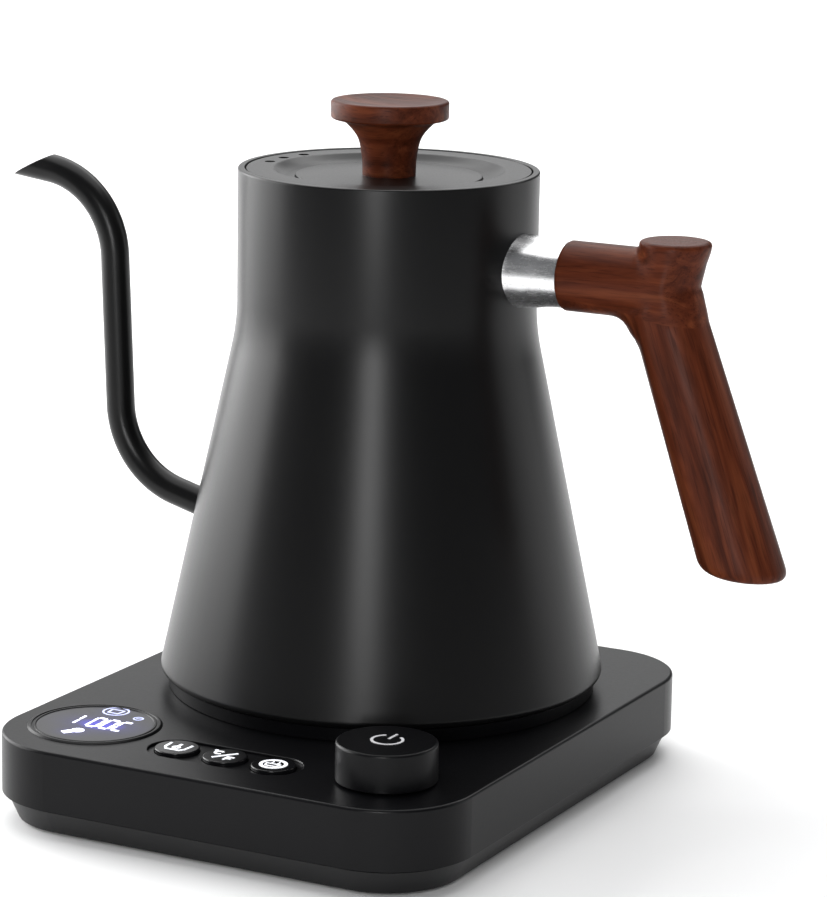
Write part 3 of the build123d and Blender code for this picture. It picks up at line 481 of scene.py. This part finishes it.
bowl = through([(31.2, 191.3), (33.4, 192.2), (36.3, 193.8)], 6)
LID_PROFILE = [(2.0, 190.7), (29.45, 190.7), (29.45, 191.15)] + bowl + rounded([
    (36.4, 193.8, 0), (44.55, 193.8, 0.35), (44.55, 191.0, 0), (37.0, 191.0, 0),
    (34.0, 189.4, 0), (2.0, 189.4, 0),
])
lid = turned(
    "lid_top_shell", LID_PROFILE, KETTLE_AXIS, FINISHES["black_powder_coat"].material,
    "lid", ["lid_shell"], around=288,
)


def drill(piece, spots, radius, low, high):
    """Cuts round upright holes through a piece."""
    points, faces = [], []
    around = 40
    for x, y in spots:
        start = len(points)
        edge = arc(x, y, radius, steps=around)
        points += [(*p, low) for p in edge] + [(*p, high) for p in edge]
        faces.append(tuple(start + i for i in reversed(range(around))))
        faces.append(tuple(start + around + i for i in range(around)))
        for i in range(around):
            n = (i + 1) % around
            faces.append((start + i, start + n, start + around + n, start + around + i))
    mesh = bpy.data.meshes.new("drill")
    mesh.from_pydata([tuple(c * MM for c in p) for p in points], [], faces)
    tool = bpy.data.objects.new("drill", mesh)
    COLLECTION.objects.link(tool)
    cutter = piece.modifiers.new("holes", "BOOLEAN")
    cutter.object = tool
    cutter.operation = "DIFFERENCE"
    depsgraph = bpy.context.evaluated_depsgraph_get()
    made = bpy.data.meshes.new_from_object(piece.evaluated_get(depsgraph))
    piece.modifiers.clear()
    piece.data = made
    bpy.data.objects.remove(tool)


VENT_ANGLES = (162.0, 176.4, 190.8)
VENT_CIRCLE = 39.3
VENT_RADIUS = 1.7
turns = [math.radians(angle) for angle in VENT_ANGLES]
vents = [(VENT_CIRCLE * math.cos(turn), KETTLE_Y + VENT_CIRCLE * math.sin(turn)) for turn in turns]
drill(lid, vents, VENT_RADIUS, 188.0, 196.0)

KNOB_PROFILE = (
    [(0.0, 191.9)] + through([(8.3, 191.9), (8.6, 197.5), (10.0, 203.6), (13.6, 208.0), (16.2, 209.25)])
    + rounded([(17.0, 209.4, 0), (18.4, 209.7, 0.8), (18.4, 215.3, 0.9), (16.8, 215.3, 0)])
    + through([(15.6, 214.9), (9.0, 214.1), (0.0, 213.7)])
)
turned(
    "lid_knob_wood", KNOB_PROFILE, KETTLE_AXIS, FINISHES["walnut"].material,
    "lid", ["lid_knob"], closed=False,
)

BEZEL_PROFILE = rounded([
    (18.0, 26.6, 0), (18.0, 28.2, 0), (18.25, 28.45, 0.1), (18.8, 28.45, 0.1),
    (18.95, 28.2, 0.05), (19.3, 28.2, 0.05), (19.45, 28.5, 0.1), (20.1, 28.5, 0.3),
    (20.8, 28.0, 0.15), (20.8, 27.5, 0), (20.1, 27.5, 0), (20.1, 26.6, 0),
])
turned(
    "display_ring", BEZEL_PROFILE, DISPLAY_CENTRE, FINISHES["black_satin_plastic"].material,
    "base", ["display_bezel"],
)

# ---------------------------------------------------------------- printed and lit symbols
KNOB_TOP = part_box("control_knob")[1].z / MM
KEY_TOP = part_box("hold_button")[1].z / MM
GLASS_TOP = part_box("display_window")[1].z / MM
POWER_AT = (50.6, -68.6)
KEYS = {"hold": (-18.2, -73.7), "unit": (-1.5, -73.7), "timer": (15.2, -73.7)}

symbol(
    "power_symbol",
    [(arc(0, 0, 4.6, 122, 418), 0.85, False), ([(0, 1.0), (0, 6.2)], 0.85, False)],
    POWER_AT, KNOB_TOP, PRINT.material, "knob",
)
symbol(
    "hold_symbol",
    [
        ([(-3.7, 3.0), (-3.4, -1.2), (-2.3, -2.9), (2.3, -2.9), (3.4, -1.2), (3.7, 3.0)], 0.85, False),
        (arc(0, -0.5, 1.0), 0.8, True),
        ([(0, 0.6), (0, 2.9)], 0.9, False),
    ],
    KEYS["hold"], KEY_TOP, KEY_LIGHT.material, "hold_key",
)
symbol(
    "unit_symbol",
    [
        ([(-2.6, -3.4), (2.6, 3.4)], 0.85, False),
        (arc(-2.9, 1.6, 1.25, 40, 320), 0.8, False),
        (arc(-4.7, 3.2, 0.45, steps=10), 0.3, True),
        ([(1.5, -0.7), (1.5, -3.8)], 0.8, False),
        ([(1.5, -0.9), (3.8, -0.9)], 0.8, False),
        ([(1.5, -2.4), (3.4, -2.4)], 0.8, False),
    ],
    KEYS["unit"], KEY_TOP, KEY_LIGHT.material, "unit_key",
)
symbol(
    "timer_symbol",
    [
        (arc(0, 0, 3.8), 1.05, True),
        ([(-2.3, -0.4), (-1.7, -1.9), (1.7, -1.9), (2.3, -0.4)], 0.6, False),
        ([(-2.5, 0.2), (2.5, 0.2)], 0.5, False),
        ([(-1.1, 0.9), (-0.8, 1.6), (-1.1, 2.4)], 0.45, False),
        ([(0.9, 0.9), (1.2, 1.6), (0.9, 2.4)], 0.45, False),
    ],
    KEYS["timer"], KEY_TOP, KEY_LIGHT.material, "timer_key",
)

# Segment digits, slanted as such displays are.
DIGIT_HIGH = 8.8
DIGIT_WIDE = 3.2
DIGIT_SLANT = -0.5
DIGIT_PITCH = 4.6
DIGITS_CORNER = (-58.9, -68.6)
FLAT_STROKE = 1.15
UPRIGHT_STROKE = 0.8
SEGMENTS = {
    "top": [(0.12, 1), (0.88, 1)],
    "bottom": [(0.12, 0), (0.88, 0)],
    "upper_left": [(0, 0.96), (0, 0.54)],
    "upper_right": [(1, 0.96), (1, 0.54)],
    "lower_left": [(0, 0.46), (0, 0.04)],
    "lower_right": [(1, 0.46), (1, 0.04)],
}
GLYPHS = {
    "1": ["upper_left", "lower_left"],
    "0": ["top", "bottom", "upper_left", "upper_right", "lower_left", "lower_right"],
    "C": ["top", "bottom", "upper_left", "lower_left"],
}


def digits(text):
    """The segments of a short reading, as lines for a symbol."""
    left, bottom = DIGITS_CORNER
    lines = []
    for place, glyph in enumerate(text):
        for name in GLYPHS[glyph]:
            line = []
            for u, v in SEGMENTS[name]:
                x = left + place * DIGIT_PITCH + u * DIGIT_WIDE + v * DIGIT_SLANT
                line.append((x, bottom + v * DIGIT_HIGH))
            flat = name in ("top", "bottom")
            lines.append((line, FLAT_STROKE if flat else UPRIGHT_STROKE, False))
    return lines


symbol(
    "display_digits", digits("100C"), (0, 0), GLASS_TOP, DIGIT_LIGHT.material,
    "base", LIT_THICK,
)
symbol(
    "display_ready_mark",
    [
        (arc(0, 0, 4.0), 0.6, True),
        ([(-2.2, 1.2), (-1.7, -1.8), (1.7, -1.8), (2.2, 1.2)], 0.7, False),
        ([(-2.4, 1.6), (2.4, 1.6)], 0.6, False),
    ],
    (-53.9, -51.5), GLASS_TOP, ICON_LIGHT.material, "base", LIT_THICK,
)
symbol(
    "display_heat_mark",
    [([(-2.0, -2.2), (0.6, 1.6)], 2.6, False), (arc(1.0, 1.8, 1.0, steps=16), 2.0, True)],
    (-54.4, -75.9), GLASS_TOP, DIGIT_LIGHT.material, "base", LIT_THICK,
)
symbol(
    "display_hold_mark",
    [(arc(0, 0, 1.5, steps=20), 0.45, True), ([(-0.8, -0.3), (0.9, 0.5)], 0.4, False)],
    (-43.9, -54.5), GLASS_TOP, ICON_LIGHT.material, "base", LIT_THICK,
)

# ---------------------------------------------------------------- wooden handle
BARREL_Z = 166.1
BARREL_RADIUS = 10.85
BORE_RADIUS = 6.0
BORE_END = 90
BARREL_START = 62.6
CAP_X = 97.9
CAP_TOP = 180.0
GRIP_CUT = 79.6
GRIP_CUT_TILT = math.radians(3.5)
GRIP_RADIUS_TOP = (11.1, 10.9)
GRIP_RADIUS_FOOT = (12.95, 12.5)
CAP_RADIUS = 11.05
WAIST_HEIGHTS = (150.0, 158.0, 166.5, 173.5, 176.5, 178.8, 181.0)
WAIST_RADII = (10.4, 9.4, 8.1, 9.6, 10.6, 11.05, 11.05)


def join(a, b, blend):
    """The union of two shapes' distances, with a fillet about as wide as the blend."""
    mix = np.clip(0.5 + 0.5 * (b - a) / blend, 0, 1)
    return b * (1 - mix) + a * mix - blend * mix * (1 - mix)


def cut(a, b, blend):
    """The part of one shape that is inside another, with its new edge rounded."""
    return -join(-a, -b, blend)


def handle_distance(p):
    """How far points are outside the handle: a round barrel, a flared cap and a tapered grip, blended."""
    x, y, z = p[:, 0], p[:, 1] - KETTLE_Y, p[:, 2]
    barrel = np.hypot(y, z - BARREL_Z) - BARREL_RADIUS
    barrel = cut(barrel, BARREL_START - x, 1.0)
    barrel = cut(barrel, x - CAP_X, 1.0)
    lean = np.array((GRIP_FOOT[0] - GRIP_TOP[0], GRIP_FOOT[1] - GRIP_TOP[1]))
    reach = np.linalg.norm(lean)
    lean /= reach
    along = (x - GRIP_TOP[0]) * lean[0] + (z - GRIP_TOP[1]) * lean[1]
    across = (x - GRIP_TOP[0]) * -lean[1] + (z - GRIP_TOP[1]) * lean[0]
    share = np.clip(along / reach, -0.1, 1.2)
    wide = GRIP_RADIUS_TOP[0] + share * (GRIP_RADIUS_FOOT[0] - GRIP_RADIUS_TOP[0])
    deep = GRIP_RADIUS_TOP[1] + share * (GRIP_RADIUS_FOOT[1] - GRIP_RADIUS_TOP[1])
    grip = (np.hypot(across / wide, y / deep) - 1) * np.minimum(wide, deep)
    grip = cut(grip, -along, 1.0)
    foot = (GRIP_CUT - z) * math.cos(GRIP_CUT_TILT) - (x - GRIP_FOOT[0]) * math.sin(GRIP_CUT_TILT)
    grip = cut(grip, foot, 4.0)
    out = np.hypot(x - CAP_X, y)
    scooped = np.clip(((x - CAP_X) / np.maximum(out, 0.01) - 0.05) / 0.75, 0, 1)
    scooped = scooped ** 2 * (3 - 2 * scooped)
    waist = np.interp(z, WAIST_HEIGHTS, WAIST_RADII)
    cap = out - (CAP_RADIUS + (waist - CAP_RADIUS) * scooped)
    cap = cut(cap, z - CAP_TOP, 1.6)
    post = cut(cap, 157.0 - z, 3.0)
    below = np.clip((161.0 - z) / 10, 0, 1) * np.clip((100.0 - x) / 8, 0, 1)
    fillet = 1.0 + 12.0 * below * np.clip(1 - (y / 11.5) ** 2, 0, 1)
    return join(join(barrel, grip, fillet), post, 2.5)


def settle(points, distance, rounds=8, step=0.05):
    """Moves points along the slope of a distance until they lie on its surface."""
    for _ in range(rounds):
        value = distance(points)
        slope = np.empty_like(points)
        for axis in range(3):
            shift = np.zeros(3)
            shift[axis] = step
            slope[:, axis] = (distance(points + shift) - distance(points - shift)) / (2 * step)
        size = np.maximum((slope ** 2).sum(1), 0.05)
        points = points - slope * np.clip(value / size, -1.5, 1.5)[:, None]
    return points


def make_handle():
    """The CAD handle remeshed evenly, then drawn onto the blended shape. Its bore stays as it is."""
    mesh = NODES["wood_handle"].data.copy()
    piece = bpy.data.objects.new("handle_wood", mesh)
    COLLECTION.objects.link(piece)
    remesh = piece.modifiers.new("even", "REMESH")
    remesh.mode = "VOXEL"
    remesh.voxel_size = 1.0 * MM
    depsgraph = bpy.context.evaluated_depsgraph_get()
    even = bpy.data.meshes.new_from_object(piece.evaluated_get(depsgraph))
    piece.modifiers.clear()
    piece.data = even
    count = len(even.vertices)
    points = np.empty(count * 3)
    even.vertices.foreach_get("co", points)
    points = points.reshape(-1, 3) / MM
    bore = np.hypot(points[:, 1] - KETTLE_Y, points[:, 2] - BARREL_Z)
    outer = (bore >= BORE_RADIUS) | (points[:, 0] >= BORE_END)
    points[outer] = settle(points[outer], handle_distance)
    even.vertices.foreach_set("co", (points * MM).ravel())
    even.shade_smooth()
    even.materials.clear()
    even.materials.append(HANDLE_WALNUT.material)
    even.update()
    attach(piece, "kettle")
    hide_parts("wood_handle")


make_handle()

# ---------------------------------------------------------------- cord
CORD_DIAMETER = 7.0
COIL_AT = (-67.0, 168.0)
COIL_OUTER_TURN = 49.0
TURN_STEP = 7.0
COIL_TURNS = 3
CORD_LEVEL = 3.6
LEAD = [(-18, 119, 14.2), (-18, 134, 13.4), (-18, 151, 5.2)]
TAIL = [
    (-39, 183, 11.2), (-39.8, 204, 11.2), (-45, 221, 6.4),
    (-57, 234.5, 4.2), (-73, 241, 5.2), (-88, 241.5, 8.5),
]
POINTS_PER_TURN = 16
RISE_TURN = 0.25
RISE = 4.4


def make_cord():
    """The mains lead: out of the base's back, round a flat coil, then over its turns to the plug."""
    route = list(LEAD)
    for i in range(COIL_TURNS * POINTS_PER_TURN + 1):
        turn = i / POINTS_PER_TURN
        radius = COIL_OUTER_TURN - TURN_STEP * turn
        rise = max(0.0, turn - (COIL_TURNS - RISE_TURN)) / RISE_TURN
        angle = 2 * math.pi * turn
        x = COIL_AT[0] + radius * math.cos(angle)
        y = COIL_AT[1] + radius * math.sin(angle)
        route.append((x, y, CORD_LEVEL + RISE * rise ** 2))
    route += TAIL
    curve = bpy.data.curves.new("mains_lead", "CURVE")
    curve.dimensions = "3D"
    line = curve.splines.new("NURBS")
    line.points.add(len(route) - 1)
    for point, place in zip(line.points, route):
        point.co = (*(c * MM for c in place), 1.0)
    line.order_u = 3
    line.use_endpoint_u = True
    line.resolution_u = 8
    curve.bevel_depth = CORD_DIAMETER / 2 * MM
    curve.bevel_resolution = 5
    curve.use_fill_caps = True
    curve.materials.append(FINISHES["cord_pvc"].material)
    piece = bpy.data.objects.new("mains_lead", curve)
    COLLECTION.objects.link(piece)
    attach(piece, "base")
    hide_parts("cord_lead", "cord_coil", "cord_tail")


make_cord()


# ---------------------------------------------------------------- floor and light
def make_floor():
    """A wide pale floor at the object's foot, for the render only."""
    half = 6.0
    steps = 24
    points = []
    faces = []
    for i in range(steps + 1):
        for j in range(steps + 1):
            points.append(((i / steps * 2 - 1) * half, (j / steps * 2 - 1) * half, 0.0))
    for i in range(steps):
        for j in range(steps):
            a = i * (steps + 1) + j
            faces.append((a, a + steps + 1, a + steps + 2, a + 1))
    mesh = bpy.data.meshes.new("floor")
    mesh.from_pydata(points, [], faces)
    s = Shader("pale_floor")
    broad = s.noise(s.place, 2.0, 2.0)
    s.link(s.ramp(broad, (0.3, 0.93), (0.7, 0.95)), "Base Color")
    s.set(Roughness=0.9, Specular_IOR_Level=0.1)
    mesh.materials.append(s.material)
    floor = bpy.data.objects.new("floor", mesh)
    COLLECTION.objects.link(floor)


make_floor()

TARGET = Vector((0, KETTLE_Y * MM, 0.09))
TO_CAMERA = Vector((math.sin(CAMERA_YAW), -math.cos(CAMERA_YAW), 0))
TO_RIGHT = Vector((math.cos(CAMERA_YAW), math.sin(CAMERA_YAW), 0))


def panel(name, azimuth, elevation, distance, wide, high, strength, aim=None):
    """A soft panel that faces the kettle or a given point.

    Azimuth is in degrees round from the camera's side, to its right; sizes and distance are in metres.
    """
    azimuth = math.radians(azimuth)
    elevation = math.radians(elevation)
    flat = math.cos(azimuth) * TO_CAMERA + math.sin(azimuth) * TO_RIGHT
    away = math.cos(elevation) * flat + Vector((0, 0, math.sin(elevation)))
    data = bpy.data.lights.new(name, "AREA")
    data.shape = "RECTANGLE"
    data.size = wide
    data.size_y = high
    data.energy = strength * wide * high * math.pi
    lamp = bpy.data.objects.new(name, data)
    lamp.location = TARGET + away * distance
    aim_at = Vector(aim) if aim else TARGET
    lamp.rotation_euler = (lamp.location - aim_at).to_track_quat("Z", "Y").to_euler()
    lamp.visible_camera = False
    COLLECTION.objects.link(lamp)


panel("key_strip", -9, 14, 1.0, 0.2, 0.46, 13.5)
panel("left_wall", -114, 17, 1.3, 1.5, 0.9, 6.0)
panel("right_wall", 104, 14, 1.3, 0.7, 1.0, 0.9)
panel("top_panel", 180, 74, 1.5, 1.8, 1.8, 2.4)
panel("back_panel", 200, 20, 2.4, 2.8, 1.1, 1.0)
panel("far_floor", 180, 38, 3.0, 4.0, 2.0, 2.6, aim=(-1.3, 2.6, 0.0))

world = bpy.data.worlds.new("studio")
world.use_nodes = True
background = world.node_tree.nodes["Background"]
background.inputs["Color"].default_value = (0.9, 0.92, 0.95, 1)
background.inputs["Strength"].default_value = 0.15
bpy.context.scene.world = world
bpy.context.scene.view_settings.view_transform = "Standard"
